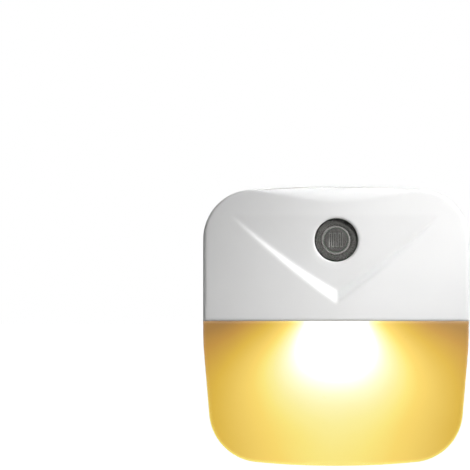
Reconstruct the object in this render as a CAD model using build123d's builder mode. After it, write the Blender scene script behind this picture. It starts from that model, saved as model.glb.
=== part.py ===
from build123d import *
import math
import os

# A plug-in night light: a rounded-square body carried on a flat two-pin plug.
# The rear housing holds the plug and the circuit board. A white cover with a dusk
# sensor and a glowing diffuser below it close the front.
#
# Millimetres. +Z is up, the front faces -Y and the pins point along +Y.
# The origin lies midway between the pins, on the plug's pin face. "Depth" is the
# distance from that face towards the front, so a point at depth d has y = -d.

# ---------------------------------------------------------------- body outline
body_width = 62.0
body_height = 65.0
outline_centre_z = 19.5  # middle of the body above the plug's axis
top_arch = 1.6  # rise of the top edge from its ends to its middle
bottom_arch = 2.1  # the same for the bottom edge
top_corner_radius = 11.6
bottom_corner_radius = 12.0
lean_start = -3.7  # height, from the middle, below which the sides lean in
lean_angle = 4.75
waist_radius = 60.0  # soft bend where the sides start to lean

# ------------------------------------------------------------ body, front to back
plug_length = 20.5  # pin face to the rear of the housing
housing_depth = 18.5  # rear of the housing to its rim
crown_edge = 0.4  # height of the front's edges above the rim, at the sides
crown_rise = 3.2  # rise of the front from its sides to its middle
crown_top_drop = 2.2  # how far the front falls back at its top edge
crown_top_radius = 5.0
crown_foot_drop = 0.7  # the same at its bottom edge
crown_foot_radius = 1.5
crown_lead = 0.04  # how far in front of the crown the end arcs start, to cross it
rear_edge_radius = 2.0

rear_depth = plug_length
rim_depth = rear_depth + housing_depth
front_depth = rim_depth + crown_edge + crown_rise

# ------------------------------------------------------------------------ walls
housing_wall = 1.8
rear_wall = 2.0
cover_wall = 1.8
diffuser_wall = 1.6
rim_ledge = 0.9  # outer part of the housing wall, which the front pieces sit on
lip_depth = 2.4  # how far the front pieces' lips reach into the housing
part_gap = 0.1  # gap between pieces that meet at the outside
diffuser_wrap = 0.7  # how much further back than the cover the diffuser reaches
cut_overrun = 1.0  # how far a cut runs past the face that it starts from

# ------------------------------------------------------- seam, cover and diffuser
seam_height = 1.2  # from the middle of the body
tongue_thickness = 1.2
tongue_reach = 2.5  # height of the diffuser's tongue behind the cover
tongue_root = 1.5
snap_height = 0.35
snap_width = 0.8
snap_length = 9.0
snap_side_height = 13.0  # of the snaps on the sides, above and below the middle

# ------------------------------------------------------------- V-shaped hollow
valley_apex = 5.4  # height of the V's point, from the middle
valley_slope = 34.3  # of the V's arms, from level
valley_wall_angle = 58.0  # of the V's side walls, from the front's normal
valley_depth = 1.8  # at the point
valley_rim = 25.9  # height at which the hollow runs out

# ----------------------------------------------------------------------- sensor
sensor_height = 20.1  # from the middle of the body
sensor_hole_radius = 5.06
lens_gap = 0.16
lens_flange_radius = 5.9
lens_flange_thickness = 1.0
lens_seat_clearance = 0.2
lens_seat = 1.5  # from the front of the crown back to the lens flange's seat
lens_front = 0.9  # from the front of the crown back to the lens's flat ring
lens_wall = 0.7
lens_dome_radius = 3.25
lens_dome_rise = 0.45
lens_groove = 0.15
sensor_tube_radius = 4.9
sensor_tube_bore = 3.2
ldr_radius = 2.55
ldr_thickness = 2.0
ldr_standoff = 4.2  # board to the back of the light-dependent resistor
ldr_lead_spacing = 3.4
ldr_track_width = 0.26
ldr_track_pitch = 0.52
ldr_track_height = 3.4
ldr_track_thickness = 0.1
ldr_track_stripes = 7

# ------------------------------------------------------------------ plug and pins
plug_width = 35.3
plug_height = 13.7
face_half_width = 13.2  # the plug narrows to this beside the pins
shoulder_length = 6.5
face_chamfer = 1.0
plug_wall = 2.0
plug_face_wall = 8.0  # solid part behind the pin face
pin_boss_radius = 3.6
flange_margin = 1.9
flange_thickness = 1.6
flange_corner = 3.0
stake_radius = 0.9
stake_spacing_x = 33.5
stake_spacing_z = 13.6
stake_head_radius = 1.6
stake_head_height = 0.8
plug_clearance = 0.12
pin_spacing_face = 18.6
pin_spacing_tip = 17.5
pin_length = 19.0
pin_radius = 2.0
pin_shank_radius = 1.6
pin_tip_radius = 1.6
sleeve_length = 10.0
sleeve_root = 2.5  # how far the sleeve reaches into the plug
sleeve_radius_root = 2.4
sleeve_radius_end = 2.15
sleeve_clearance = 0.1
pin_clearance = 0.02
pin_overhang = 0.9  # pins beyond the flange, inside the housing

# ------------------------------------------------------------------ circuit board
post_height = 7.5
post_radius = 2.5
post_spacing_x = 42.0
upper_post_height = 19.0  # of the posts, from the middle of the body
lower_post_height = -6.5
post_rib_length = 2.2
post_rib_thickness = 1.0
screw_radius = 1.0
screw_length = 6.0
screw_head_radius = 2.1
screw_head_height = 1.4
screw_cross = (2.6, 0.6, 0.8)  # length, width and depth of the driver's cross
screw_clearance = 0.05
pilot_extra = 1.0  # depth of the screws' holes beyond their tips
peg_radius = 0.8
hole_clearance = 0.15
board_width = 50.0
board_top = 26.5
board_bottom = -24.5
board_thickness = 1.6
board_corner = 4.0

# ------------------------------------------------------------- parts on the board
led_count = 3
led_spacing = 5.0
led_height = -6.3  # from the middle of the body
led_size = (3.5, 2.8)
led_thickness = 0.8
phosphor_size = (2.7, 2.0)
phosphor_depth = 0.3
tray_inset = 5.5
tray_wall = 1.0
tray_front_gap = 1.0
tray_lean = 20.0
tray_top = -3.1  # of its back, from the middle of the body
tray_window = (17.0, 3.8)
film_capacitor_size = (13.0, 11.0, 6.0)
film_capacitor_place = (-9.0, 8.0)
film_lead_spacing = 10.0
can_radius = 3.15
can_length = 11.5
can_place = (9.0, 8.5)
can_groove = 0.3
can_groove_height = 1.6  # above the end that the leads leave
can_vent = 3.2
can_lead_spacing = 2.5
can_lead_bend = 1.5  # from the can to its leads' bend
bridge_size = (4.9, 4.0, 1.8)
bridge_place = (0.0, -4.5)
transistor_size = (2.9, 1.4, 1.1)
transistor_place = (15.0, 9.0)
package_lift = 0.15  # from the board to a moulded package
package_draft = 5.0
leg_width = 0.6
leg_reach = 1.6
leg_height = 0.4
lead_radius = 0.3
lead_sides = 6  # leads are too fine to need a round section
axial_lead_run = 2.3  # from the end of an axial part to its lead's bend
solder_radius = 0.9
solder_height = 0.6
solder_slope = 0.45
fuse_radius = 1.7
fuse_length = 9.0
fuse_place = (18.0, 6.5)
resistor_radius = 1.15
resistor_length = 6.2
resistor_spacing = 5.0
resistor_place = (-9.0, 19.8)
bead = 0.25  # how much an axial part's ends are fatter than its middle
bead_length = 1.5
contact_thickness = 0.3
contact_width = 3.0
contact_gap = 0.06
contact_foot = 3.0
contact_rise = 1.6
contact_turn = 0.6

flange_depth = rear_depth + rear_wall + flange_thickness
board_rear = rear_depth + rear_wall + post_height
board_front = board_rear + board_thickness
pin_tilt = (pin_spacing_face - pin_spacing_tip) / 2 / pin_length


# --------------------------------------------------------------- shared geometry
def body_plane(depth):
    """A plane across the body at a depth, facing forward, centred on the outline."""
    return Plane(origin=(0, -depth, outline_centre_z), x_dir=(1, 0, 0), z_dir=(0, -1, 0))


def plug_plane(depth):
    """A plane across the plug at a depth, facing forward, centred on the plug's axis."""
    return Plane(origin=(0, -depth, 0), x_dir=(1, 0, 0), z_dir=(0, -1, 0))


def pin_plane(side, reach):
    """A plane across one pin, this far out of the pin face along the pin's own axis."""
    axis = Vector(-side * pin_tilt, 1, 0).normalized()
    origin = Vector(side * pin_spacing_face / 2, 0, 0) + axis * reach
    return Plane(origin=origin, x_dir=(0, 0, 1), z_dir=axis)


def body_outline(inset=0.0):
    """The rounded square: arched ends, straight shoulders, sides that lean in below.

    An inset makes it smaller all round, for the walls and lips inside it.
    """
    lean = math.radians(lean_angle)
    side = body_width / 2 - inset
    end = body_height / 2 - inset
    waist = lean_start + inset * math.tan(lean / 2)
    shoulder = end - top_arch
    foot = bottom_arch - end
    foot_side = side - (waist - foot) * math.tan(lean)
    with BuildSketch() as outline:
        with BuildLine():
            ThreePointArc((-side, shoulder), (0, end), (side, shoulder))
            Polyline((side, shoulder), (side, waist), (foot_side, foot))
            ThreePointArc((foot_side, foot), (0, -end), (-foot_side, foot))
            Polyline((-foot_side, foot), (-side, waist), (-side, shoulder))
        make_face()
        fillet(outline.vertices().group_by(Axis.Y)[0], bottom_corner_radius - inset)
        fillet(outline.vertices().group_by(Axis.Y)[-1], top_corner_radius - inset)
        for bend in (-side, side):
            fillet(outline.vertices().sort_by_distance((bend, waist))[0], waist_radius - inset)
    return outline.sketch_local


def outline_prism(inset, back, front):
    """The outline, inset all round, filled between two depths."""
    with BuildPart() as prism:
        with BuildSketch(body_plane(back)):
            add(body_outline(inset))
        extrude(amount=front - back)
    return prism.part


def level_band(low, high):
    """Everything between two heights of the body, wide and deep enough to cut it."""
    with BuildPart() as band:
        with BuildSketch(Plane.XY.offset(outline_centre_z + low)):
            Rectangle(2 * body_width, 4 * front_depth)
        extrude(amount=high - low)
    return band.part


def crown_section(place):
    """A slice across the body, in a level plane, whose front edge is the crown's arc."""
    side = body_width / 2
    reach = side + crown_edge
    drop = crown_rise * (reach / side) ** 2
    back = crown_rise + 2 * crown_top_radius
    with BuildSketch(place) as section:
        with BuildLine():
            ThreePointArc((-reach, drop), (0, 0), (reach, drop))
            Polyline((reach, drop), (reach, back), (-reach, back), (-reach, drop))
        make_face()
    return section.sketch


def end_limit(inset, direction, radius, drop):
    """A side view of all behind the front's line and its arc at the top (1) or the foot (-1)."""
    front = inset - front_depth - crown_lead
    fall = math.acos(1 - drop / radius)
    end = outline_centre_z + direction * body_height / 2
    start = (front, end - direction * radius * math.sin(fall))
    far = outline_centre_z - direction * body_height
    with BuildSketch(Plane.YZ) as limit:
        with BuildLine():
            arc = JernArc(start, (0, direction), radius - inset, -90 * direction)
            tip = arc @ 1
            Polyline(tip, (0, tip.Y), (0, far), (front, far), start)
        make_face()
    return limit.sketch


def front_form(inset, back):
    """The solid under the crowned front, inset all round, from a depth forward."""
    crown = Plane((0, inset - front_depth, outline_centre_z - body_height))
    with BuildPart() as form:
        add(outline_prism(inset, back, front_depth + crown_edge))
        extrude(crown_section(crown), amount=2 * body_height, mode=Mode.INTERSECT)
        top = end_limit(inset, 1, crown_top_radius, crown_top_drop)
        extrude(top, amount=body_width, both=True, mode=Mode.INTERSECT)
        if not inset:
            foot = end_limit(0, -1, crown_foot_radius, crown_foot_drop)
            extrude(foot, amount=body_width, both=True, mode=Mode.INTERSECT)
    return form.part


def front_shell(wall, back):
    """A front wall of one thickness with the lip that nests inside the housing's rim."""
    with BuildPart() as shell:
        add(front_form(0, back))
        add(outline_prism(rim_ledge + part_gap, back - lip_depth, back))
        add(front_form(wall, back - lip_depth), mode=Mode.SUBTRACT)
    return shell.part


def snap_beads(direction, clearance=0.0):
    """Ridges on the lip, on both sides and at one end, that click into the housing's grooves."""
    back = rim_depth - (diffuser_wrap if direction < 0 else 0)
    middle = back - lip_depth / 2
    lip_face = rim_ledge + part_gap
    width = snap_width + 2 * clearance
    span = snap_length + 2 * clearance
    with BuildPart() as beads:
        add(outline_prism(lip_face - snap_height - clearance, middle - width / 2, middle + width / 2))
        add(outline_prism(lip_face + snap_height, 0, back), mode=Mode.SUBTRACT)
        with BuildSketch(body_plane(back - lip_depth)):
            with Locations((0, direction * snap_side_height)):
                Rectangle(2 * body_width, span)
            with Locations((0, direction * body_height / 2)):
                Rectangle(span, span)
        extrude(amount=lip_depth, mode=Mode.INTERSECT)
    return beads.part


def valley_form(cover=0.0):
    """The V-shaped hollow: in front of its sloping floor and inside its leaning walls.

    A cover thickness grows it backward and sideways, to the material behind it.
    """
    spread = cover / math.cos(math.radians(valley_wall_angle))
    far = 2 * body_width
    arm = valley_apex + far * math.tan(math.radians(valley_slope))
    fall = valley_depth / (valley_rim - valley_apex)
    above = body_height - valley_rim
    with BuildPart() as valley:
        with BuildSketch(body_plane(front_depth)):
            with BuildLine():
                Polyline((0, valley_apex), (far, arm), (-far, arm), close=True)
            make_face()
            if spread:
                offset(amount=spread, kind=Kind.INTERSECTION)
        extrude(amount=-(crown_rise + 2 * crown_top_radius), taper=valley_wall_angle)
        start = Vector(0, -front_depth - fall * above + cover, outline_centre_z + body_height)
        floor = extrude(
            crown_section(Plane(start)),
            amount=2 * body_height * math.hypot(1, fall),
            dir=(0, fall, -1),
            mode=Mode.PRIVATE,
        )
        add(floor, mode=Mode.SUBTRACT)
    return valley.part


def valley_backing():
    """The material behind the V-shaped hollow, which keeps the cover's wall there."""
    with BuildPart() as backing:
        add(valley_form(cover_wall))
        add(front_form(cover_wall / 2, rim_depth - lip_depth), mode=Mode.INTERSECT)
    return backing.part


def diffuser_seat():
    """What the housing's rim loses below the seam, where the diffuser reaches further back."""
    lower_rim = rim_depth - diffuser_wrap
    with BuildPart() as seat:
        add(outline_prism(-rim_ledge, lower_rim, rim_depth + cut_overrun))
        add(outline_prism(rim_ledge, lower_rim - lip_depth - part_gap, rim_depth))
        add(level_band(-body_height, seam_height), mode=Mode.INTERSECT)
    return seat.part


def inner_skin(outside, inside, low, high):
    """A strip of skin under the crowned front, between two insets and two heights."""
    with BuildPart() as skin:
        add(front_form(outside, rim_depth - lip_depth))
        add(front_form(inside, rim_depth - lip_depth), mode=Mode.SUBTRACT)
        add(level_band(low, high), mode=Mode.INTERSECT)
    return skin.part


def plug_outline(growth=0.0):
    """The flat hexagon of the plug, with 45-degree flanks."""
    side = plug_width / 2
    top = plug_height / 2
    flat = side - top
    with BuildSketch() as outline:
        with BuildLine():
            upper = [(side, 0), (flat, top), (-flat, top), (-side, 0)]
            Polyline(*upper, (-flat, -top), (flat, -top), close=True)
        make_face()
        if growth:
            offset(amount=growth, kind=Kind.INTERSECTION)
    return outline.sketch_local


def save(piece, name):
    """Label one finished piece and write it."""
    piece.part.label = name
    export_step(piece.part, f"parts/{name}.step")


os.makedirs("parts", exist_ok=True)

# ----------------------------------------------------------------- rear housing
upper_posts = [(side * post_spacing_x / 2, upper_post_height) for side in (-1, 1)]
lower_posts = [(side * post_spacing_x / 2, lower_post_height) for side in (-1, 1)]

with BuildPart() as rear_housing:
    with BuildSketch(body_plane(rim_depth)):
        add(body_outline())
    extrude(amount=-housing_depth)
    fillet(rear_housing.faces().sort_by(Axis.Y)[-1].edges(), rear_edge_radius)
    add(outline_prism(housing_wall, rear_depth + rear_wall, rim_depth), mode=Mode.SUBTRACT)
    # The rim steps back under the diffuser, and its inner half makes room for the lips.
    add(outline_prism(rim_ledge, rim_depth - lip_depth - part_gap, rim_depth), mode=Mode.SUBTRACT)
    add(diffuser_seat(), mode=Mode.SUBTRACT)
    for direction in (-1, 1):
        add(snap_beads(direction, clearance=part_gap), mode=Mode.SUBTRACT)
    # The plug's opening.
    with BuildSketch(plug_plane(rear_depth - cut_overrun)):
        add(plug_outline(plug_clearance))
    extrude(amount=rear_wall + 2 * cut_overrun, mode=Mode.SUBTRACT)
    # Posts for the board: screw posts above, posts with locating pegs below.
    with BuildSketch(body_plane(rear_depth + rear_wall)):
        with Locations(*upper_posts, *lower_posts):
            Circle(post_radius)
            Rectangle(2 * (post_radius + post_rib_length), post_rib_thickness)
            Rectangle(post_rib_thickness, 2 * (post_radius + post_rib_length))
    extrude(amount=post_height)
    with BuildSketch(body_plane(board_rear)):
        with Locations(*upper_posts):
            Circle(screw_radius + screw_clearance)
    extrude(amount=-(screw_length - board_thickness + pilot_extra), mode=Mode.SUBTRACT)
    with BuildSketch(body_plane(board_rear)):
        with Locations(*lower_posts):
            Circle(peg_radius)
    extrude(amount=board_thickness + tray_wall)
    # Stakes through the plug's flange, with heads melted over it.
    with BuildSketch(plug_plane(rear_depth + rear_wall)):
        with GridLocations(stake_spacing_x, stake_spacing_z, 2, 2):
            Circle(stake_radius)
    extrude(amount=flange_thickness)
    with BuildSketch(plug_plane(flange_depth)):
        with GridLocations(stake_spacing_x, stake_spacing_z, 2, 2):
            Circle(stake_head_radius)
    extrude(amount=stake_head_height)
save(rear_housing, "rear_housing")

# ------------------------------------------------------------------ front cover
seam_level = outline_centre_z + seam_height
sensor_plane_height = outline_centre_z + sensor_height


def sensor_plane(depth):
    """A plane across the sensor's axis at a depth, facing forward."""
    return Plane(origin=(0, -depth, sensor_plane_height), x_dir=(1, 0, 0), z_dir=(0, -1, 0))


with BuildPart() as front_cover:
    add(front_shell(cover_wall, rim_depth))
    # The V-shaped hollow, with the same wall behind it.
    add(valley_backing())
    add(valley_form(), mode=Mode.SUBTRACT)
    # The sensor's hole, and the seat for its lens behind.
    with BuildSketch(sensor_plane(front_depth - lens_seat)):
        Circle(lens_flange_radius + lens_seat_clearance)
    extrude(amount=-2 * cover_wall, mode=Mode.SUBTRACT)
    with BuildSketch(sensor_plane(rim_depth)):
        Circle(sensor_hole_radius)
    extrude(amount=front_depth, mode=Mode.SUBTRACT)
    split(bisect_by=Plane.XY.offset(seam_level + part_gap / 2), keep=Keep.TOP)
    add(snap_beads(1))
save(front_cover, "front_cover")

# --------------------------------------------------------------------- diffuser
tongue_front = cover_wall + part_gap
tongue_back = tongue_front + tongue_thickness

with BuildPart() as diffuser:
    add(front_shell(diffuser_wall, rim_depth - diffuser_wrap))
    split(bisect_by=Plane.XY.offset(seam_level - part_gap / 2), keep=Keep.BOTTOM)
    # The tongue behind the cover's lower edge, and the thicker root that carries it.
    root_height = seam_height - tongue_root
    add(inner_skin(rim_ledge + part_gap, tongue_back, root_height, seam_height - part_gap / 2))
    add(inner_skin(tongue_front, tongue_back, root_height, seam_height + tongue_reach))
    add(snap_beads(-1))
save(diffuser, "diffuser")

# -------------------------------------------------------------------- plug body
with BuildPart() as plug_body:
    with BuildSketch(plug_plane(0)):
        add(plug_outline())
    extrude(amount=flange_depth)
    # Shoulders: each side narrows towards the pin face along two equal arcs.
    step = plug_width / 2 - face_half_width
    for side in (-1, 1):
        with BuildSketch(Plane.XY.offset(-plug_height)):
            with BuildLine():
                face_end = (side * face_half_width, 0)
                middle = (side * (face_half_width + step / 2), -shoulder_length / 2)
                wide_end = (side * plug_width / 2, -shoulder_length)
                TangentArc(face_end, middle, tangent=(0, -1))
                TangentArc(wide_end, middle, tangent=(0, 1))
                outside = side * plug_width
                Polyline(
                    face_end,
                    (face_end[0], cut_overrun),
                    (outside, cut_overrun),
                    (outside, wide_end[1]),
                    wide_end,
                )
            make_face()
        extrude(amount=2 * plug_height, mode=Mode.SUBTRACT)
    long_edges = plug_body.faces().sort_by(Axis.Y)[-1].edges().sort_by(Axis.Z)
    chamfer([long_edges[0], long_edges[-1]], face_chamfer)
    # The flange inside the housing, with holes for the stakes.
    with BuildSketch(plug_plane(rear_depth + rear_wall)):
        RectangleRounded(
            plug_width + 2 * flange_margin, plug_height + 2 * flange_margin, flange_corner
        )
        with GridLocations(stake_spacing_x, stake_spacing_z, 2, 2):
            Circle(stake_radius + hole_clearance, mode=Mode.SUBTRACT)
    extrude(amount=flange_thickness)
    # The hollow behind the face, with a boss left round each pin.
    with BuildSketch(plug_plane(flange_depth)):
        add(plug_outline(-plug_wall))
        with Locations((-pin_spacing_face / 2, 0), (pin_spacing_face / 2, 0)):
            Circle(pin_boss_radius, mode=Mode.SUBTRACT)
    extrude(amount=-(flange_depth - plug_face_wall), mode=Mode.SUBTRACT)
    # Bores for the pins and for the ends of their sleeves.
    for side in (-1, 1):
        with BuildSketch(pin_plane(side, 0)):
            Circle(pin_shank_radius + pin_clearance)
        extrude(amount=-2 * flange_depth, mode=Mode.SUBTRACT)
        with BuildSketch(pin_plane(side, pin_radius)):
            Circle(sleeve_radius_root + sleeve_clearance)
        extrude(amount=-(sleeve_root + pin_radius), mode=Mode.SUBTRACT)
save(plug_body, "plug_body")

# -------------------------------------------------------------- pins and sleeves
sleeve_taper = math.degrees(math.atan((sleeve_radius_root - sleeve_radius_end) / sleeve_length))

for side, name in ((-1, "left"), (1, "right")):
    with BuildPart() as pin:
        with BuildSketch(pin_plane(side, sleeve_length)):
            Circle(pin_radius)
        extrude(amount=pin_length - sleeve_length)
        fillet(pin.edges().group_by(Axis.Y)[-1], pin_tip_radius)
        with BuildSketch(pin_plane(side, sleeve_length)):
            Circle(pin_shank_radius)
        extrude(amount=-(sleeve_length + flange_depth + pin_overhang))
    save(pin, f"pin_{name}")
    with BuildPart() as sleeve:
        with BuildSketch(pin_plane(side, 0)):
            Circle(sleeve_radius_root)
        extrude(amount=sleeve_length, taper=sleeve_taper)
        with BuildSketch(pin_plane(side, 0)):
            Circle(sleeve_radius_root)
        extrude(amount=-sleeve_root)
        with BuildSketch(pin_plane(side, sleeve_length)):
            Circle(pin_shank_radius + pin_clearance)
        extrude(amount=-(sleeve_length + sleeve_root), mode=Mode.SUBTRACT)
    save(sleeve, f"pin_sleeve_{name}")

# ------------------------------------------------------------- sensor and its lens
lens_seat_depth = front_depth - lens_seat
lens_ring_depth = front_depth - lens_front
lens_back_depth = lens_seat_depth - lens_flange_thickness
lens_radius = sensor_hole_radius - lens_gap

with BuildPart() as sensor_lens:
    # Half of its section: cavity, flange, flat ring, and a shallow dome inside a fine groove.
    cavity_radius = lens_radius - 2 * lens_wall
    cavity_front = lens_wall - lens_ring_depth
    groove_floor = lens_groove - lens_ring_depth
    with BuildSketch(Plane.XY.offset(sensor_plane_height)):
        with BuildLine():
            dome = TangentArc(
                (0, -lens_ring_depth - lens_dome_rise), (lens_dome_radius, groove_floor), tangent=(1, 0)
            )
            Polyline(
                dome @ 1,
                (lens_dome_radius + lens_groove, -lens_ring_depth),
                (lens_radius - lens_groove, -lens_ring_depth),
                (lens_radius, groove_floor),
                (lens_radius, -lens_seat_depth),
                (lens_flange_radius, -lens_seat_depth),
                (lens_flange_radius, -lens_back_depth),
                (cavity_radius, -lens_back_depth),
                (cavity_radius, cavity_front),
                (0, cavity_front),
                dome @ 0,
            )
        make_face()
    revolve(axis=Axis((0, 0, sensor_plane_height), (0, 1, 0)))
save(sensor_lens, "sensor_lens")

with BuildPart() as sensor_tube:
    with BuildSketch(sensor_plane(board_front)):
        Circle(sensor_tube_radius)
        Circle(sensor_tube_bore, mode=Mode.SUBTRACT)
    extrude(amount=lens_back_depth - board_front)
save(sensor_tube, "sensor_tube")

ldr_back = board_front + ldr_standoff
ldr_front = ldr_back + ldr_thickness

with BuildPart() as photoresistor:
    with BuildSketch(sensor_plane(ldr_back)):
        Circle(ldr_radius)
    extrude(amount=ldr_thickness)
save(photoresistor, "photoresistor")

with BuildPart() as photoresistor_track:
    # A single track that runs up and down across the face.
    half = ldr_track_height / 2
    first = -(ldr_track_stripes - 1) / 2 * ldr_track_pitch
    with BuildSketch(sensor_plane(ldr_front)):
        with GridLocations(ldr_track_pitch, 0, ldr_track_stripes, 1):
            Rectangle(ldr_track_width, ldr_track_height)
        for stripe in range(ldr_track_stripes - 1):
            bar_middle = first + (stripe + 0.5) * ldr_track_pitch
            bar_height = (half - ldr_track_width / 2) * (-1) ** stripe
            with Locations((bar_middle, bar_height)):
                Rectangle(ldr_track_pitch, ldr_track_width)
    extrude(amount=ldr_track_thickness)
save(photoresistor_track, "photoresistor_track")

with BuildPart() as photoresistor_leads:
    with BuildSketch(sensor_plane(board_rear)):
        with GridLocations(ldr_lead_spacing, 0, 2, 1):
            RegularPolygon(lead_radius, lead_sides)
    extrude(amount=ldr_back - board_rear)
save(photoresistor_leads, "photoresistor_leads")

# ------------------------------------------------------- circuit board and screws
def side_by_side(place, pitch):
    """The two places half a pitch to the left and right of a place."""
    x, z = place
    return [(x - pitch / 2, z), (x + pitch / 2, z)]


def one_above_other(place, pitch):
    """The two places half a pitch below and above a place."""
    x, z = place
    return [(x, z - pitch / 2), (x, z + pitch / 2)]


can_lead_level = can_place[1] - can_length / 2 - can_lead_bend
resistor_places = side_by_side(resistor_place, resistor_spacing)

ldr_leads = side_by_side((0, sensor_height), ldr_lead_spacing)
can_leads = side_by_side((can_place[0], can_lead_level), can_lead_spacing)
film_leads = side_by_side(film_capacitor_place, film_lead_spacing)
fuse_leads = one_above_other(fuse_place, fuse_length + 2 * axial_lead_run)
resistor_leads = []
for place in resistor_places:
    resistor_leads += one_above_other(place, resistor_length + 2 * axial_lead_run)
front_joints = can_leads + film_leads + fuse_leads + resistor_leads

with BuildPart() as circuit_board:
    with BuildSketch(body_plane(board_rear)) as blank:
        with Locations((0, (board_top + board_bottom) / 2)):
            Rectangle(board_width, board_top - board_bottom)
        chamfer(blank.vertices(), board_corner)
        with Locations(*upper_posts):
            Circle(screw_radius + hole_clearance, mode=Mode.SUBTRACT)
        with Locations(*lower_posts):
            Circle(peg_radius + hole_clearance, mode=Mode.SUBTRACT)
        with Locations(*ldr_leads, *front_joints):
            RegularPolygon(lead_radius + hole_clearance, lead_sides, mode=Mode.SUBTRACT)
    extrude(amount=board_thickness)
save(circuit_board, "circuit_board")

with BuildPart() as solder_joints:
    # Small mounds that close each lead's hole, on the face that the lead comes through to.
    for places, depth, outward in ((front_joints, board_front, 1), (ldr_leads, board_rear, -1)):
        with BuildSketch(body_plane(depth)):
            with Locations(*places):
                RegularPolygon(solder_radius, lead_sides)
        extrude(amount=outward * solder_height)
    layers = solder_joints.faces().filter_by(Axis.Y).group_by(Axis.Y)
    chamfer([*layers[0].edges(), *layers[-1].edges()], solder_slope)
save(solder_joints, "solder_joints")

with BuildPart() as board_screws:
    with BuildSketch(body_plane(board_front)):
        with Locations(*upper_posts):
            Circle(screw_head_radius)
    extrude(amount=screw_head_height)
    cross_length, cross_width, cross_depth = screw_cross
    with BuildSketch(body_plane(board_front + screw_head_height)):
        with Locations(*upper_posts):
            Rectangle(cross_length, cross_width)
            Rectangle(cross_width, cross_length)
    extrude(amount=-cross_depth, mode=Mode.SUBTRACT)
    with BuildSketch(body_plane(board_front)):
        with Locations(*upper_posts):
            Circle(screw_radius)
    extrude(amount=-screw_length)
save(board_screws, "board_screws")

# ------------------------------------------------------------ light-emitting diodes
led_places = [((n - (led_count - 1) / 2) * led_spacing, led_height) for n in range(led_count)]
led_front = board_front + led_thickness

with BuildPart() as led_packages:
    with BuildSketch(body_plane(board_front)):
        with Locations(*led_places):
            Rectangle(*led_size)
    extrude(amount=led_thickness)
    with BuildSketch(body_plane(led_front)):
        with Locations(*led_places):
            Rectangle(*phosphor_size)
    extrude(amount=-phosphor_depth, mode=Mode.SUBTRACT)
save(led_packages, "led_packages")

with BuildPart() as led_phosphors:
    with BuildSketch(body_plane(led_front)):
        with Locations(*led_places):
            Rectangle(*phosphor_size)
    extrude(amount=-phosphor_depth)
save(led_phosphors, "led_phosphors")


def tray_solid(inset, back, front):
    """A box below the seam, along the body's sides and foot, that widens forward."""
    side = body_width / 2 - inset
    foot = inset + bottom_arch - body_height / 2
    foot_side = side - (tray_top - foot) * math.tan(math.radians(lean_angle))
    top = tray_top + tray_inset - inset
    with BuildPart() as solid:
        with BuildSketch(body_plane(back)) as base:
            with BuildLine():
                Polyline((-side, top), (side, top), (foot_side, foot), (-foot_side, foot), close=True)
            make_face()
            fillet(base.vertices().sort_by(Axis.Y)[:2], bottom_corner_radius - inset)
        extrude(amount=front - back)
        sides = solid.faces().filter_by(Axis.Y, reverse=True)
        draft(sides, body_plane(back), -tray_lean)
    return solid.part


tray_front = rim_depth - tray_front_gap

with BuildPart() as reflector_tray:
    add(tray_solid(tray_inset, board_front, tray_front))
    hollow_front = tray_front + cut_overrun
    add(tray_solid(tray_inset + tray_wall, board_front + tray_wall, hollow_front), mode=Mode.SUBTRACT)
    with BuildSketch(body_plane(board_front)):
        with Locations((0, led_height)):
            RectangleRounded(*tray_window, tray_wall)
        with Locations(*lower_posts):
            Circle(peg_radius + hole_clearance)
    extrude(amount=tray_wall, mode=Mode.SUBTRACT)
save(reflector_tray, "reflector_tray")


# ------------------------------------------------------------ parts behind the board
def wire_lead(points):
    """A lead along straight runs, which starts upright at its first point."""
    with BuildPart() as lead:
        with BuildLine() as route:
            Polyline(*points)
        with BuildSketch(Plane(points[0], x_dir=(1, 0, 0), z_dir=points[1] - points[0])):
            RegularPolygon(lead_radius, lead_sides)
        sweep(path=route.line, transition=Transition.RIGHT)
    return lead.part


def axial_part(place, radius, length):
    """An upright cylinder with beaded ends, against the board, its leads bent through it."""
    x, z = place
    centre = Vector(x, radius + bead - board_rear, outline_centre_z + z)
    reach = Vector(0, 0, length / 2 + axial_lead_run)
    through = Vector(0, -board_front - centre.Y, 0)
    with BuildPart() as piece:
        with BuildSketch(Plane(centre)):
            Circle(radius)
        extrude(amount=length / 2, both=True)
        for end in (-1, 1):
            with BuildSketch(Plane(centre).offset(end * length / 2)):
                Circle(radius + bead)
            extrude(amount=-end * bead_length)
            turn = centre + end * reach
            add(wire_lead([centre, turn, turn + through]))
    return piece.part


with BuildPart() as film_capacitor:
    x, z = film_capacitor_place
    width, height, thickness = film_capacitor_size
    with BuildSketch(body_plane(board_rear)):
        with Locations((x, z)):
            Rectangle(width, height)
    extrude(amount=-thickness)
    chamfer(film_capacitor.edges(), bead)
    with BuildSketch(body_plane(board_rear)):
        with Locations(*film_leads):
            RegularPolygon(lead_radius, lead_sides)
    extrude(amount=board_thickness)
save(film_capacitor, "film_capacitor")

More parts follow.
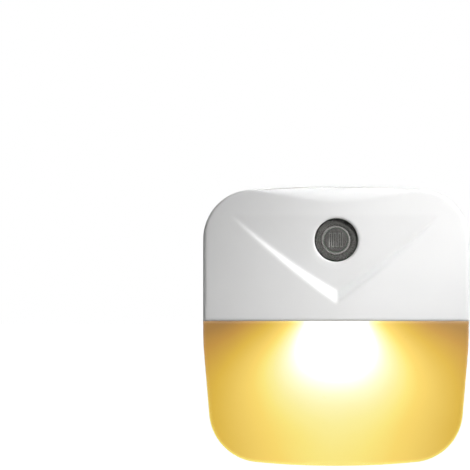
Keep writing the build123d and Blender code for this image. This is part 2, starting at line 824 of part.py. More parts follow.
with BuildPart() as electrolytic_capacitor:
    x, z = can_place
    middle = Vector(x, -(board_rear - can_radius), outline_centre_z + z)
    with BuildSketch(Plane.XY.offset(middle.Z - can_length / 2)):
        with Locations((middle.X, middle.Y)):
            Circle(can_radius)
    extrude(amount=can_length)
    # The crimped groove near the leads' end, and the vent cross in the other.
    with BuildSketch(Plane.XY.offset(middle.Z - can_length / 2 + can_groove_height)):
        with Locations((middle.X, middle.Y)):
            Circle(can_radius)
            Circle(can_radius - can_groove, mode=Mode.SUBTRACT)
    extrude(amount=2 * can_groove, mode=Mode.SUBTRACT)
    with BuildSketch(Plane.XY.offset(middle.Z + can_length / 2)):
        with Locations((middle.X, middle.Y)):
            Rectangle(can_vent, can_groove)
            Rectangle(can_groove, can_vent)
    extrude(amount=-can_groove, mode=Mode.SUBTRACT)
    for lead_x, lead_z in can_leads:
        turn = Vector(lead_x, middle.Y, outline_centre_z + lead_z)
        start = turn + Vector(0, 0, can_lead_bend)
        through = turn - Vector(0, can_radius + board_thickness, 0)
        add(wire_lead([start, turn, through]))
save(electrolytic_capacitor, "electrolytic_capacitor")


def flat_package(place, size, legs, face_depth, outward):
    """A moulded package on one face of the board, with its counts of legs above and below."""
    x, z = place
    width, height, thickness = size
    with BuildPart() as package:
        with BuildSketch(body_plane(face_depth + outward * package_lift)):
            with Locations((x, z)):
                Rectangle(width, height)
        extrude(amount=outward * (thickness - package_lift), taper=package_draft)
        with BuildSketch(body_plane(face_depth)):
            for count, edge in zip(legs, (z + height / 2, z - height / 2)):
                with Locations((x, edge)):
                    with GridLocations(width / 2, 0, count, 1):
                        Rectangle(leg_width, leg_reach)
        extrude(amount=outward * leg_height)
    return package.part


with BuildPart() as bridge_rectifier:
    add(flat_package(bridge_place, bridge_size, (2, 2), board_rear, -1))
save(bridge_rectifier, "bridge_rectifier")

with BuildPart() as transistor:
    add(flat_package(transistor_place, transistor_size, (1, 2), board_front, 1))
save(transistor, "transistor")

with BuildPart() as fuse_resistor:
    add(axial_part(fuse_place, fuse_radius, fuse_length))
save(fuse_resistor, "fuse_resistor")

with BuildPart() as resistors:
    for place in resistor_places:
        add(axial_part(place, resistor_radius, resistor_length))
save(resistors, "resistors")

# --------------------------------------------------------------- contact springs
pin_end = flange_depth + pin_overhang
blade = pin_end + contact_gap + contact_thickness / 2
foot = board_rear - contact_thickness / 2

for side, name in ((-1, "left"), (1, "right")):
    x = side * (pin_spacing_face / 2 + pin_tilt * pin_end)
    foot_end = (-foot, -contact_rise - contact_foot)
    with BuildPart() as contact:
        with BuildLine(Plane.YZ.offset(x)) as strip:
            leg = [(-foot, -contact_rise), (-blade, -contact_rise / 2)]
            blade_end = (-blade, contact_foot - contact_rise)
            FilletPolyline(foot_end, *leg, blade_end, radius=contact_turn)
        with BuildSketch(Plane(origin=(x, *foot_end), x_dir=(1, 0, 0), z_dir=(0, 0, 1))):
            Rectangle(contact_width, contact_thickness)
        sweep(path=strip.line)
    save(contact, f"contact_spring_{name}")
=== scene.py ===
import math

import bpy
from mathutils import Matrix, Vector


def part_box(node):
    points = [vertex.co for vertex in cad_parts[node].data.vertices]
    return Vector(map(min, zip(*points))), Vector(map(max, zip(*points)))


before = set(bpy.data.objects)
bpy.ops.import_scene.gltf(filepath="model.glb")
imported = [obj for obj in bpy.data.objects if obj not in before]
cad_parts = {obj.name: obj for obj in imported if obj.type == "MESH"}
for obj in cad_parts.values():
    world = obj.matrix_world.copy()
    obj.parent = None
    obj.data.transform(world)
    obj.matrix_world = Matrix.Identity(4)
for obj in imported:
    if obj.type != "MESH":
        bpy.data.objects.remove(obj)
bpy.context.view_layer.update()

bl_info = {
    "name": "Plug-in night light",
    "version": (1, 0, 0),
    "blender": (4, 5, 0),
    "location": "3D View > Sidebar > Night light",
    "description": "Dresses a plug-in night light with its plastics, metals, glow and studio",
    "category": "Object",
}

COVER_LOW, COVER_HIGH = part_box("front_cover")
DIFFUSER_LOW, DIFFUSER_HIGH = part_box("diffuser")
LENS_LOW, LENS_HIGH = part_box("sensor_lens")
# Middle of the cover and diffuser together, which the camera and lamps are placed from.
BODY_MIDDLE = Vector((0, (COVER_LOW.y + DIFFUSER_HIGH.y) / 2, (COVER_HIGH.z + DIFFUSER_LOW.z) / 2))
SEAM_HEIGHT = (COVER_LOW.z + DIFFUSER_HIGH.z) / 2  # where the glow is brightest
FRAME_PIXELS = 470  # width and height of the picture

# Sizes of the finishes, in metres.
MM = 0.001
LENS_RING_REACH = 5.0 * MM  # radius that the lens's rings are shares of
LENS_RING_DEPTH = 0.3 * MM
GRAIN_DEPTH = 0.02 * MM
SCRATCH_DEPTH = 0.005 * MM
RIM_START = 12.0 * MM  # how far below the seam the lower edge starts to shine
RIM_RAMP = 14.0 * MM  # and how much further down it shines in full

ACRYLIC_IOR = 1.49

# Scales of the patterns, in repeats per metre.
TONE_PATCHES = 70.0
SMUDGES = 260.0
LAMP_CLOUDS = 110.0
SCRATCHES = 9000.0
WORN_PATCHES = 500.0
LENS_HAZE = 900.0
FLOOR_MOTTLE = 3.0

# Tones that edges and worn places turn to, and how far a tone drifts between patches.
TONE_DRIFT = 0.06
EDGE_TONE = (0.93, 0.93, 0.92)
WORN_PLATING = (0.55, 0.50, 0.42)
SHINING_RIM = (0.90, 0.84, 0.16)


# ------------------------------------------------------------------ settings
class NightLightFinish(bpy.types.PropertyGroup):
    """Colours and surface sizes of the night light."""

    white: bpy.props.FloatVectorProperty(
        name="White plastic", description="Colour of the housing and cover",
        subtype="COLOR", size=3, min=0, max=1, default=(0.84, 0.84, 0.84))
    amber: bpy.props.FloatVectorProperty(
        name="Amber plastic", description="Colour of the diffuser's body",
        subtype="COLOR", size=3, min=0, max=1, default=(0.28, 0.185, 0.058))
    smoke: bpy.props.FloatVectorProperty(
        name="Smoked lens", description="Tint of the sensor's lens",
        subtype="COLOR", size=3, min=0, max=1, default=(0.43, 0.425, 0.40))
    smoke_density: bpy.props.FloatProperty(
        name="Smoke density", description="How much of the sensor behind the lens it hides",
        subtype="FACTOR", min=0, max=1, default=0.22)
    nickel: bpy.props.FloatVectorProperty(
        name="Nickel", description="Colour of the pins' plating",
        subtype="COLOR", size=3, min=0, max=1, default=(0.78, 0.77, 0.75))
    grain: bpy.props.FloatProperty(
        name="Grain", description="Size of the moulded plastic's fine grain",
        unit="LENGTH", subtype="DISTANCE", min=0.00005, max=0.002, default=0.00035)
    edge_round: bpy.props.FloatProperty(
        name="Edge rounding", description="Radius that moulded edges are shaded with",
        unit="LENGTH", subtype="DISTANCE", min=0, max=0.002, default=0.0004)
    cover_round: bpy.props.FloatProperty(
        name="Cover rounding", description="Radius that the hollow in the cover is shaded with",
        unit="LENGTH", subtype="DISTANCE", min=0, max=0.003, default=0.0013)


class NightLightGlow(bpy.types.PropertyGroup):
    """The light behind the diffuser."""

    strength: bpy.props.FloatProperty(
        name="Strength", description="How brightly the diffuser shines", min=0, max=5, default=1.0)
    core_width: bpy.props.FloatProperty(
        name="Core width", description="Half the width of the white-hot middle at the seam",
        unit="LENGTH", subtype="DISTANCE", default=0.0075)
    core_spread: bpy.props.FloatProperty(
        name="Core spread", description="How much the white-hot middle widens on its way down",
        min=0, max=2, default=0.78)
    core_height: bpy.props.FloatProperty(
        name="Core height", description="How far the white-hot middle reaches down",
        unit="LENGTH", subtype="DISTANCE", default=0.0159)
    halo_width: bpy.props.FloatProperty(
        name="Halo width", description="Half the width of the warm glow round the middle",
        unit="LENGTH", subtype="DISTANCE", default=0.030)
    corner_reach: bpy.props.FloatProperty(
        name="Corner reach", description="How far out the shaded corners at the seam start",
        unit="LENGTH", subtype="DISTANCE", default=0.023)
    corner_drop: bpy.props.FloatProperty(
        name="Corner drop", description="How far down the shaded corners reach",
        unit="LENGTH", subtype="DISTANCE", default=0.007)
    rim_width: bpy.props.FloatProperty(
        name="Rim width", description="Width of the bright line along the lower edge",
        unit="LENGTH", subtype="DISTANCE", default=0.0013)


class NightLightStudio(bpy.types.PropertyGroup):
    """Camera, lamps and floor."""

    camera_distance: bpy.props.FloatProperty(
        name="Camera distance", description="From the middle of the body to the camera",
        unit="LENGTH", subtype="DISTANCE", default=1.2)
    key_power: bpy.props.FloatProperty(
        name="Key light", description="Power of the lamp at the upper right", subtype="POWER",
        default=0.025)
    fill_power: bpy.props.FloatProperty(
        name="Fill light", description="Power of the lamp in front", subtype="POWER", default=0.085)
    top_power: bpy.props.FloatProperty(
        name="Top light", description="Power of the lamp above", subtype="POWER", default=0.26)
    side_power: bpy.props.FloatProperty(
        name="Side light", description="Power of the lamp at the left", subtype="POWER",
        default=0.125)
    back_power: bpy.props.FloatProperty(
        name="Back light", description="Power of the lamp behind", subtype="POWER", default=0.19)
    ambient: bpy.props.FloatProperty(
        name="Ambient light", description="How brightly the room lights the object", min=0, max=1,
        default=0.012)
    floor_drop: bpy.props.FloatProperty(
        name="Floor drop", description="How far the floor lies below the body",
        unit="LENGTH", subtype="DISTANCE", default=0.02)
    floor_size: bpy.props.FloatProperty(
        name="Floor size", description="Width and depth of the floor",
        unit="LENGTH", subtype="DISTANCE", default=6.0)


# --------------------------------------------------------------- node helpers
def link(tree, start, end):
    """Joins an output socket to an input socket."""
    tree.links.new(start, end)


def make_group(name, inputs, outputs):
    """A node group with a value socket for each name, or a colour for Color, and its two ends."""
    tree = bpy.data.node_groups.new(name, "ShaderNodeTree")
    for in_out, sockets in (("INPUT", inputs), ("OUTPUT", outputs)):
        for socket in sockets:
            kind = "NodeSocketColor" if socket == "Color" else "NodeSocketFloat"
            tree.interface.new_socket(socket, in_out=in_out, socket_type=kind)
    return tree, tree.nodes.new("NodeGroupInput"), tree.nodes.new("NodeGroupOutput")


def maths(tree, operation, first, second=0.0, third=0.0, clamp=False):
    """One step of arithmetic, on sockets or numbers."""
    node = tree.nodes.new("ShaderNodeMath")
    node.operation = operation
    node.use_clamp = clamp
    for socket, value in zip(node.inputs, (first, second, third)):
        if isinstance(value, bpy.types.NodeSocket):
            link(tree, value, socket)
        else:
            socket.default_value = value
    return node.outputs[0]


def noise(tree, vector, scale, detail=2.0, roughness=0.5):
    """A noise pattern's value on a vector socket."""
    node = tree.nodes.new("ShaderNodeTexNoise")
    node.inputs["Detail"].default_value = detail
    node.inputs["Roughness"].default_value = roughness
    link(tree, vector, node.inputs["Vector"])
    if isinstance(scale, bpy.types.NodeSocket):
        link(tree, scale, node.inputs["Scale"])
    else:
        node.inputs["Scale"].default_value = scale
    return node.outputs["Fac"]


def mix_colour(tree, factor, first, second):
    """Two colours mixed by a factor, each a socket or a value."""
    node = tree.nodes.new("ShaderNodeMix")
    node.data_type = "RGBA"
    for name, value in (("Factor_Float", factor), ("A_Color", first), ("B_Color", second)):
        socket = next(s for s in node.inputs if s.identifier == name)
        if isinstance(value, bpy.types.NodeSocket):
            link(tree, value, socket)
        elif name == "Factor_Float":
            socket.default_value = value
        else:
            socket.default_value = (*value[:3], 1.0)
    return next(s for s in node.outputs if s.identifier == "Result_Color")


def colour_ramp(tree, factor, stops):
    """A ramp through (position, colour) stops, read at a factor socket."""
    ramp = tree.nodes.new("ShaderNodeValToRGB")
    elements = ramp.color_ramp.elements
    while len(elements) < len(stops):
        elements.new(0.5)
    for element, (position, colour) in zip(elements, stops):
        element.position = position
        element.color = (*colour, 1.0)
    link(tree, factor, ramp.inputs["Fac"])
    return ramp.outputs["Color"]


def object_place(tree):
    """The Object coordinates of the surface."""
    return tree.nodes.new("ShaderNodeTexCoord").outputs["Object"]


# ---------------------------------------------------------------- node groups
def moulded_grain_group():
    """Fine grain, slow tone changes and lighter, rougher edges of moulded plastic."""
    tree, given, result = make_group(
        "moulded_grain", ("Color", "Grain Scale", "Roughness", "Edge Radius"),
        ("Color", "Roughness", "Height", "Edge"))
    place = object_place(tree)
    fine = noise(tree, place, given.outputs["Grain Scale"], detail=3.0, roughness=0.6)
    slow = noise(tree, place, TONE_PATCHES)
    smudge = noise(tree, place, SMUDGES, detail=4.0, roughness=0.65)
    # Edges: where a rounded normal leaves the flat one.
    rounded = tree.nodes.new("ShaderNodeBevel")
    rounded.samples = 4
    link(tree, given.outputs["Edge Radius"], rounded.inputs["Radius"])
    flat = tree.nodes.new("ShaderNodeNewGeometry")
    likeness = tree.nodes.new("ShaderNodeVectorMath")
    likeness.operation = "DOT_PRODUCT"
    link(tree, rounded.outputs["Normal"], likeness.inputs[0])
    link(tree, flat.outputs["Normal"], likeness.inputs[1])
    turn = maths(tree, "SUBTRACT", 1.0, likeness.outputs["Value"])
    edge = maths(tree, "MULTIPLY", turn, 3.0, clamp=True)
    # Tone: slightly darker and lighter by slow patches, and lighter towards the edges.
    shade = maths(tree, "MULTIPLY_ADD", maths(tree, "SUBTRACT", slow, 0.5), TONE_DRIFT, 1.0)
    shaded = tree.nodes.new("ShaderNodeVectorMath")
    shaded.operation = "SCALE"
    link(tree, given.outputs["Color"], shaded.inputs[0])
    link(tree, shade, shaded.inputs["Scale"])
    edge_tint = maths(tree, "MULTIPLY", edge, 0.25)
    link(tree, mix_colour(tree, edge_tint, shaded.outputs["Vector"], EDGE_TONE),
         result.inputs["Color"])
    # Roughness: smudges, and rougher edges.
    touched = maths(tree, "SUBTRACT", smudge, 0.5)
    rough = maths(tree, "MULTIPLY_ADD", touched, 0.12, given.outputs["Roughness"])
    link(tree, maths(tree, "MULTIPLY_ADD", edge, 0.08, rough), result.inputs["Roughness"])
    link(tree, maths(tree, "MULTIPLY_ADD", slow, 0.4, fine), result.inputs["Height"])
    link(tree, edge, result.inputs["Edge"])
    return tree


def lamp_glow_group():
    """How the light behind the diffuser spreads: white-hot in the middle, amber outside."""
    tree, given, result = make_group(
        "lamp_glow", ("Core Width", "Core Spread", "Core Height", "Halo Width", "Corner Reach",
                      "Corner Drop", "Rim"), ("Color",))
    place = object_place(tree)
    split = tree.nodes.new("ShaderNodeSeparateXYZ")
    link(tree, place, split.inputs[0])
    across = maths(tree, "ABSOLUTE", split.outputs["X"])
    below = maths(tree, "MAXIMUM", maths(tree, "SUBTRACT", SEAM_HEIGHT, split.outputs["Z"]), 0.0)

    def share(distance, size, power):
        """A distance as a share of a size, raised to a power."""
        return maths(tree, "POWER", maths(tree, "DIVIDE", distance, size), power)

    def fade(reach):
        """1 in the middle, falling softly to 0."""
        return maths(tree, "EXPONENT", maths(tree, "MULTIPLY", reach, -1.0))

    width = maths(tree, "MULTIPLY_ADD", below, given.outputs["Core Spread"],
                  given.outputs["Core Width"])
    core = fade(maths(tree, "ADD", share(across, width, 2.4),
                      share(below, given.outputs["Core Height"], 1.9)))
    halo = fade(share(across, given.outputs["Halo Width"], 2.2))
    # Painted shade: the glow is dimmed in the corners at the seam.
    corner = maths(tree, "MULTIPLY", share(across, given.outputs["Corner Reach"], 1.4),
                   fade(share(below, given.outputs["Corner Drop"], 1.3)))
    lit = maths(tree, "SUBTRACT", 1.0, corner, clamp=True)
    cloud = maths(tree, "SUBTRACT", noise(tree, place, LAMP_CLOUDS, detail=3.0), 0.5)
    heat = maths(tree, "MULTIPLY", maths(tree, "MULTIPLY", halo, lit), 0.62)
    heat = maths(tree, "MULTIPLY_ADD", core, 0.90, heat)
    heat = maths(tree, "MULTIPLY_ADD", cloud, 0.04, heat)
    colour = colour_ramp(tree, heat, [
        (0.00, (0.17, 0.06, 0.00)),  # brown, painted shade in the corners at the seam
        (0.12, (0.33, 0.145, 0.00)),  # amber
        (0.28, (0.51, 0.32, 0.005)),  # dark gold
        (0.42, (0.63, 0.44, 0.06)),  # gold
        (0.54, (0.73, 0.54, 0.09)),
        (0.62, (0.74, 0.64, 0.15)),  # yellow
        (0.70, (0.74, 0.70, 0.25)),
        (0.78, (0.76, 0.76, 0.39)),  # pale yellow
        (0.86, (0.80, 0.83, 0.56)),
        (1.00, (1.00, 1.00, 1.00)),  # white-hot
    ])
    # The lower edge gathers the light that runs inside the plastic.
    lower = maths(tree, "DIVIDE", maths(tree, "SUBTRACT", below, RIM_START), RIM_RAMP, clamp=True)
    rim = maths(tree, "MULTIPLY", given.outputs["Rim"], lower)
    link(tree, mix_colour(tree, rim, colour, SHINING_RIM), result.inputs["Color"])
    return tree


def fine_scratches_group():
    """Hair-fine scratches along the pins, from plugging in and out."""
    tree, given, result = make_group(
        "fine_scratches", ("Color", "Roughness", "Wear"), ("Color", "Roughness", "Height"))
    stretch = tree.nodes.new("ShaderNodeMapping")
    stretch.inputs["Scale"].default_value = (1.0, 0.04, 1.0)  # long along the pins
    place = object_place(tree)
    link(tree, place, stretch.inputs["Vector"])
    lines = noise(tree, stretch.outputs["Vector"], SCRATCHES, roughness=0.7)
    patches = noise(tree, place, WORN_PATCHES, detail=3.0)
    worn = maths(tree, "MULTIPLY", maths(tree, "MULTIPLY", lines, patches), given.outputs["Wear"])
    link(tree, mix_colour(tree, worn, given.outputs["Color"], WORN_PLATING), result.inputs["Color"])
    link(tree, maths(tree, "MULTIPLY_ADD", worn, 0.5, given.outputs["Roughness"]),
         result.inputs["Roughness"])
    link(tree, lines, result.inputs["Height"])
    return tree


def group_node(tree, name, builder):
    """A node that holds a shared group, which is built the first time it is asked for."""
    node = tree.nodes.new("ShaderNodeGroup")
    node.node_tree = bpy.data.node_groups.get(name) or builder()
    return node


# ------------------------------------------------------------------- materials
def new_material(name):
    """An empty material with a Principled shader."""
    material = bpy.data.materials.new(name)
    material.use_nodes = True
    tree = material.node_tree
    shader = tree.nodes["Principled BSDF"]
    return material, tree, shader


def give_bump(tree, shader, height, strength, distance, normal=None):
    """Small relief from a height socket, on top of an optional normal."""
    bump = tree.nodes.new("ShaderNodeBump")
    bump.inputs["Strength"].default_value = strength
    bump.inputs["Distance"].default_value = distance
    link(tree, height, bump.inputs["Height"])
    if normal is not None:
        link(tree, normal, bump.inputs["Normal"])
    link(tree, bump.outputs["Normal"], shader.inputs["Normal"])


def rounded_normal(tree, radius):
    """The normal of edges that are shaded round."""
    bevel = tree.nodes.new("ShaderNodeBevel")
    bevel.samples = 12
    bevel.inputs["Radius"].default_value = radius
    return bevel.outputs["Normal"]


def moulded_surface(tree, shader, colour, roughness, edge_radius, round_radius, bump):
    """Gives a shader the colour, roughness and relief of moulded plastic."""
    grain = group_node(tree, "moulded_grain", moulded_grain_group)
    grain.inputs["Color"].default_value = (*colour, 1.0)
    grain.inputs["Grain Scale"].default_value = 1.0 / bpy.context.scene.night_light_finish.grain
    grain.inputs["Roughness"].default_value = roughness
    grain.inputs["Edge Radius"].default_value = edge_radius
    link(tree, grain.outputs["Color"], shader.inputs["Base Color"])
    link(tree, grain.outputs["Roughness"], shader.inputs["Roughness"])
    give_bump(tree, shader, grain.outputs["Height"], bump, GRAIN_DEPTH,
              rounded_normal(tree, round_radius))
    return grain


def moulded_plastic(name, colour, roughness, coat=0.0, soft=None):
    """Moulded plastic with fine grain, slow tone changes and softened edges."""
    edge_round = bpy.context.scene.night_light_finish.edge_round
    material, tree, shader = new_material(name)
    moulded_surface(tree, shader, colour, roughness, edge_round, soft or edge_round, bump=0.08)
    shader.inputs["Coat Weight"].default_value = coat
    shader.inputs["Coat Roughness"].default_value = 0.12
    return material


def glowing_diffuser():
    """Milky amber plastic, lit from behind by the lamp."""
    finish = bpy.context.scene.night_light_finish
    glow = bpy.context.scene.night_light_glow
    material, tree, shader = new_material("glowing_diffuser")
    grain = moulded_surface(tree, shader, finish.amber, roughness=0.30, edge_radius=glow.rim_width,
                            round_radius=finish.edge_round, bump=0.06)
    lamp = group_node(tree, "lamp_glow", lamp_glow_group)
    for setting in ("core_width", "core_spread", "core_height", "halo_width", "corner_reach",
                    "corner_drop"):
        lamp.inputs[setting.replace("_", " ").title()].default_value = getattr(glow, setting)
    link(tree, grain.outputs["Edge"], lamp.inputs["Rim"])
    link(tree, lamp.outputs["Color"], shader.inputs["Emission Color"])
    shader.inputs["Emission Strength"].default_value = glow.strength
    return material


def smoked_plastic():
    """The sensor's dark see-through lens, with the rings moulded in it and a painted highlight and
    painted shade on them.
    """
    finish = bpy.context.scene.night_light_finish
    material, tree, shader = new_material("smoked_lens")
    place = object_place(tree)
    centred = tree.nodes.new("ShaderNodeMapping")
    middle = (LENS_LOW + LENS_HIGH) / 2
    centred.inputs["Location"].default_value = (-middle.x, 0, -middle.z)
    centred.inputs["Scale"].default_value = (1, 0, 1)
    link(tree, place, centred.inputs["Vector"])
    radius = tree.nodes.new("ShaderNodeVectorMath")
    radius.operation = "LENGTH"
    link(tree, centred.outputs["Vector"], radius.inputs[0])
    share = maths(tree, "DIVIDE", radius.outputs["Value"], LENS_RING_REACH)
    # Ring tones painted into the colour: a painted highlight on the dome's foot, and painted shade
    # in the groove and at the edge in the cover's hole.
    tones = [
        (0.00, 0.55),
        (0.56, 0.60),
        (0.61, 1.80),  # foot of the dome, which catches the light
        (0.65, 1.60),
        (0.69, 0.25),  # painted shade in the groove round it
        (0.75, 0.95),
        (0.90, 1.00),
        (0.98, 0.15),  # shaded edge in the cover's hole
    ]
    smoke = Vector(finish.smoke)
    rings = colour_ramp(tree, share, [(position, tone * smoke) for position, tone in tones])
    link(tree, rings, shader.inputs["Base Color"])
    haze = noise(tree, place, LENS_HAZE, detail=3.0)
    shader.inputs["Alpha"].default_value = finish.smoke_density
    shader.inputs["IOR"].default_value = ACRYLIC_IOR
    link(tree, maths(tree, "MULTIPLY_ADD", haze, 0.04, 0.16), shader.inputs["Roughness"])
    give_bump(tree, shader, rings, 0.3, LENS_RING_DEPTH)
    return material


def plated_metal(name, colour, roughness, wear):
    """Plated metal with hair-fine scratches."""
    material, tree, shader = new_material(name)
    scratches = group_node(tree, "fine_scratches", fine_scratches_group)
    scratches.inputs["Color"].default_value = (*colour, 1.0)
    scratches.inputs["Roughness"].default_value = roughness
    scratches.inputs["Wear"].default_value = wear
    link(tree, scratches.outputs["Color"], shader.inputs["Base Color"])
    link(tree, scratches.outputs["Roughness"], shader.inputs["Roughness"])
    shader.inputs["Metallic"].default_value = 1.0
    give_bump(tree, shader, scratches.outputs["Height"], 0.1, SCRATCH_DEPTH)
    return material


def dress(node, material):
    """Gives a CAD node its material."""
    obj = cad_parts[node]
    obj.data.materials.clear()
    obj.data.materials.append(material)


# ------------------------------------------------------------------- operators
class NIGHTLIGHT_OT_dress_shells(bpy.types.Operator):
    """White moulded plastic on the housing, cover, plug and pin sleeves."""

    bl_idname = "nightlight.dress_shells"
    bl_label = "Dress the white shells"

    def execute(self, context):
        finish = context.scene.night_light_finish
        white = tuple(finish.white)
        dress("rear_housing", moulded_plastic("white_housing", white, 0.34, coat=0.15))
        dress("front_cover", moulded_plastic("white_cover", white, 0.34, coat=0.15,
                                             soft=finish.cover_round))
        plug = moulded_plastic("white_plug", white, 0.40)
        for node in ("plug_body", "pin_sleeve_left", "pin_sleeve_right"):
            dress(node, plug)
        return {"FINISHED"}


class NIGHTLIGHT_OT_dress_diffuser(bpy.types.Operator):
    """The glowing diffuser and the lamp parts behind it."""

    bl_idname = "nightlight.dress_diffuser"
    bl_label = "Dress the diffuser"

    def execute(self, context):
        dress("diffuser", glowing_diffuser())
        dress("reflector_tray", moulded_plastic("white_reflector", (0.86, 0.86, 0.84), 0.6))
        dress("led_packages", moulded_plastic("white_diode_body", (0.84, 0.84, 0.80), 0.5))
        dress("led_phosphors", moulded_plastic("yellow_phosphor", (0.85, 0.62, 0.12), 0.3))
        return {"FINISHED"}


class NIGHTLIGHT_OT_dress_sensor(bpy.types.Operator):
    """The smoked lens, the light sensor behind it and its rubber tube."""

    bl_idname = "nightlight.dress_sensor"
    bl_label = "Dress the sensor"

    def execute(self, context):
        dress("sensor_lens", smoked_plastic())
        dress("sensor_tube", moulded_plastic("dark_rubber", (0.06, 0.06, 0.055), 0.7))
        dress("photoresistor", moulded_plastic("fired_ceramic", (0.12, 0.12, 0.11), 0.6))
        dress("photoresistor_track", moulded_plastic("sensor_track", (0.90, 0.90, 0.86), 0.3))
        dress("photoresistor_leads", plated_metal("tinned_leads", (0.7, 0.7, 0.68), 0.35, 0.2))
        return {"FINISHED"}


class NIGHTLIGHT_OT_dress_pins(bpy.types.Operator):
    """Nickel plating on the two pins."""

    bl_idname = "nightlight.dress_pins"
    bl_label = "Dress the pins"

    def execute(self, context):
        colour = tuple(context.scene.night_light_finish.nickel)
        nickel = plated_metal("nickel_plating", colour, 0.16, 0.4)
        for node in ("pin_left", "pin_right"):
            dress(node, nickel)
        return {"FINISHED"}


class NIGHTLIGHT_OT_dress_electronics(bpy.types.Operator):
    """The circuit board and every part on it."""

    bl_idname = "nightlight.dress_electronics"
    bl_label = "Dress the electronics"

    def execute(self, context):
        tin = plated_metal("tin_solder", (0.68, 0.68, 0.67), 0.3, 0.2)
        epoxy = moulded_plastic("black_epoxy", (0.03, 0.03, 0.03), 0.55)
        lacquer = moulded_plastic("resistor_lacquer", (0.55, 0.45, 0.30), 0.35)
        bronze = plated_metal("contact_bronze", (0.75, 0.52, 0.28), 0.3, 0.3)
        finishes = {
            "circuit_board": moulded_plastic("green_laminate", (0.03, 0.16, 0.06), 0.35),
            "board_screws": plated_metal("zinc_plating", (0.60, 0.61, 0.63), 0.3, 0.4),
            "solder_joints": tin,
            "film_capacitor": moulded_plastic("capacitor_box", (0.62, 0.50, 0.05), 0.4),
            "electrolytic_capacitor": moulded_plastic("capacitor_sleeve", (0.02, 0.03, 0.07), 0.3),
            "bridge_rectifier": epoxy,
            "transistor": epoxy,
            "fuse_resistor": lacquer,
            "resistors": lacquer,
            "contact_spring_left": bronze,
            "contact_spring_right": bronze,
        }
        for node, material in finishes.items():
            dress(node, material)
        return {"FINISHED"}


class NIGHTLIGHT_OT_set_stage(bpy.types.Operator):
    """The floor, lamps, world and camera."""

    bl_idname = "nightlight.set_stage"
    bl_label = "Set the stage"

    def execute(self, context):
        studio = context.scene.night_light_studio
        make_floor(studio)
        make_world(studio)
        make_lamps(studio)
        make_camera(studio)
        context.scene.view_settings.view_transform = "Standard"
        return {"FINISHED"}


# ----------------------------------------------------------------------- stage
def seen_rays(tree):
    """1 for rays that the camera, a reflection or a clear piece sends, 0 for light."""
    path = tree.nodes.new("ShaderNodeLightPath")
    both = maths(tree, "MAXIMUM", path.outputs["Is Camera Ray"], path.outputs["Is Glossy Ray"])
    return maths(tree, "MAXIMUM", both, path.outputs["Is Transmission Ray"])


def make_floor(studio):
    """A wide pale floor below the body, seen white, which keeps the body's shadow."""
    bpy.ops.object.select_all(action="DESELECT")
    level = DIFFUSER_LOW.z - studio.floor_drop
    bpy.ops.mesh.primitive_plane_add(size=studio.floor_size, location=(0, 0, level))
    floor = bpy.context.object
    floor.name = "studio_floor"
    material, tree, shader = new_material("pale_floor")
    place = object_place(tree)
    mottle = noise(tree, place, FLOOR_MOTTLE, detail=3.0)
    colour = mix_colour(tree, mottle, (0.88, 0.88, 0.88), (0.92, 0.92, 0.92))
    link(tree, colour, shader.inputs["Base Color"])
    shader.inputs["Roughness"].default_value = 0.9
    shader.inputs["Specular IOR Level"].default_value = 0.1
    # What is seen is lifted to white, less so near the body, where its shadow falls.
    distance = tree.nodes.new("ShaderNodeVectorMath")
    distance.operation = "LENGTH"
    link(tree, place, distance.inputs[0])
    ring = tree.nodes.new("ShaderNodeMapRange")
    ring.interpolation_type = "SMOOTHSTEP"
    link(tree, distance.outputs["Value"], ring.inputs["Value"])
    shadow_radius, white_radius, shadow_lift = 0.10, 0.38, 0.62
    for socket, value in (("From Min", shadow_radius), ("From Max", white_radius),
                          ("To Min", shadow_lift), ("To Max", 1.0)):
        ring.inputs[socket].default_value = value
    shader.inputs["Emission Color"].default_value = (1.0, 1.0, 1.0, 1.0)
    link(tree, maths(tree, "MULTIPLY", ring.outputs["Result"], seen_rays(tree)),
         shader.inputs["Emission Strength"])
    floor.data.materials.append(material)


def make_world(studio):
    """White where it is seen, dim where it lights."""
    world = bpy.data.worlds.new("studio_world")
    bpy.context.scene.world = world
    world.use_nodes = True
    tree = world.node_tree
    background = tree.nodes["Background"]
    colour = mix_colour(tree, seen_rays(tree), (studio.ambient,) * 3, (1.0, 1.0, 1.0))
    link(tree, colour, background.inputs["Color"])
    background.inputs["Strength"].default_value = 1.0


def area_lamp(name, place, size, power, aim=(0, 0, 0), spread=180):
    """A rectangular area lamp placed and aimed from the body's middle, and not seen itself."""
    data = bpy.data.lights.new(name, "AREA")
    data.shape = "RECTANGLE"
    data.size, data.size_y = size
    data.energy = power
    data.spread = math.radians(spread)
    lamp = bpy.data.objects.new(name, data)
    bpy.context.scene.collection.objects.link(lamp)
    lamp.location = BODY_MIDDLE + Vector(place)
    lamp.rotation_euler = (Vector(aim) - Vector(place)).to_track_quat("-Z", "Y").to_euler()
    lamp.visible_camera = False


def make_lamps(studio):
    """A narrow lamp at the upper right, a weak wide one in front, and ones for the other sides."""
    area_lamp("key_lamp", (0.28, -0.24, 0.20), (0.05, 0.05), studio.key_power,
              aim=(0.006, 0, 0.016), spread=18)
    area_lamp("fill_lamp", (0.15, -0.90, 0.20), (0.6, 0.6), studio.fill_power)
    area_lamp("top_lamp", (-0.05, -0.05, 0.30), (0.30, 0.20), studio.top_power)
    area_lamp("side_lamp", (-0.50, 0.22, 0.16), (0.20, 0.20), studio.side_power, spread=40)
    area_lamp("back_lamp", (0.22, 0.60, 0.34), (0.30, 0.30), studio.back_power, spread=40)


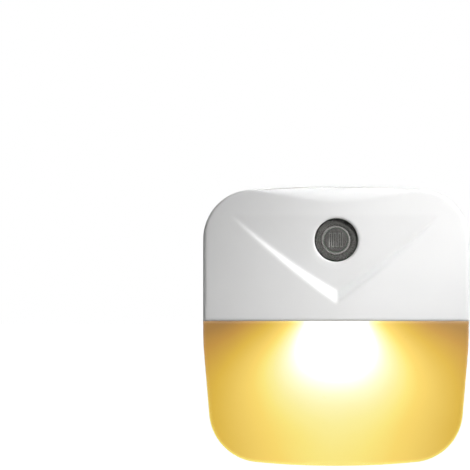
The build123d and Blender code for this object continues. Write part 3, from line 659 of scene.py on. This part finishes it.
def make_camera(studio):
    """A long lens square to the front, framed so that the body stands low at the right."""
    body_width_pixels = 265.7
    middle_pixel = (336.0, 326.15)
    metres_per_pixel = (DIFFUSER_HIGH.x - DIFFUSER_LOW.x) / body_width_pixels
    across = (middle_pixel[0] - FRAME_PIXELS / 2) * metres_per_pixel
    down = (middle_pixel[1] - FRAME_PIXELS / 2) * metres_per_pixel
    data = bpy.data.cameras.new("front_camera")
    camera = bpy.data.objects.new("front_camera", data)
    bpy.context.scene.collection.objects.link(camera)
    camera.location = BODY_MIDDLE + Vector((-across, -studio.camera_distance, down))
    camera.rotation_euler = (math.radians(90), 0, 0)
    data.lens = data.sensor_width * studio.camera_distance / (FRAME_PIXELS * metres_per_pixel)
    data.clip_start, data.clip_end = 0.01, 20.0
    bpy.context.scene.camera = camera


# ---------------------------------------------------------------------- add-on
class NIGHTLIGHT_PT_panel(bpy.types.Panel):
    """Buttons and settings for the night light."""

    bl_label = "Night light"
    bl_idname = "NIGHTLIGHT_PT_panel"
    bl_space_type = "VIEW_3D"
    bl_region_type = "UI"
    bl_category = "Night light"

    def draw(self, context):
        for settings in ("night_light_finish", "night_light_glow", "night_light_studio"):
            group = getattr(context.scene, settings)
            box = self.layout.box()
            for name in group.bl_rna.properties.keys():
                if name not in ("rna_type", "name"):
                    box.prop(group, name)
        for operator in OPERATORS:
            self.layout.operator(operator.bl_idname)


SETTINGS = (
    ("night_light_finish", NightLightFinish),
    ("night_light_glow", NightLightGlow),
    ("night_light_studio", NightLightStudio),
)
OPERATORS = (
    NIGHTLIGHT_OT_dress_shells,
    NIGHTLIGHT_OT_dress_diffuser,
    NIGHTLIGHT_OT_dress_sensor,
    NIGHTLIGHT_OT_dress_pins,
    NIGHTLIGHT_OT_dress_electronics,
    NIGHTLIGHT_OT_set_stage,
)


def register():
    """Registers the settings, operators and panel."""
    for name, group in SETTINGS:
        bpy.utils.register_class(group)
        setattr(bpy.types.Scene, name, bpy.props.PointerProperty(type=group))
    for operator in OPERATORS:
        bpy.utils.register_class(operator)
    bpy.utils.register_class(NIGHTLIGHT_PT_panel)


def unregister():
    """Takes back what register added."""
    bpy.utils.unregister_class(NIGHTLIGHT_PT_panel)
    for operator in reversed(OPERATORS):
        bpy.utils.unregister_class(operator)
    for name, group in reversed(SETTINGS):
        delattr(bpy.types.Scene, name)
        bpy.utils.unregister_class(group)


def main():
    """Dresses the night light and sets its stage."""
    register()
    bpy.ops.nightlight.dress_shells()
    bpy.ops.nightlight.dress_diffuser()
    bpy.ops.nightlight.dress_sensor()
    bpy.ops.nightlight.dress_pins()
    bpy.ops.nightlight.dress_electronics()
    bpy.ops.nightlight.set_stage()


if __name__ == "__main__":
    main()
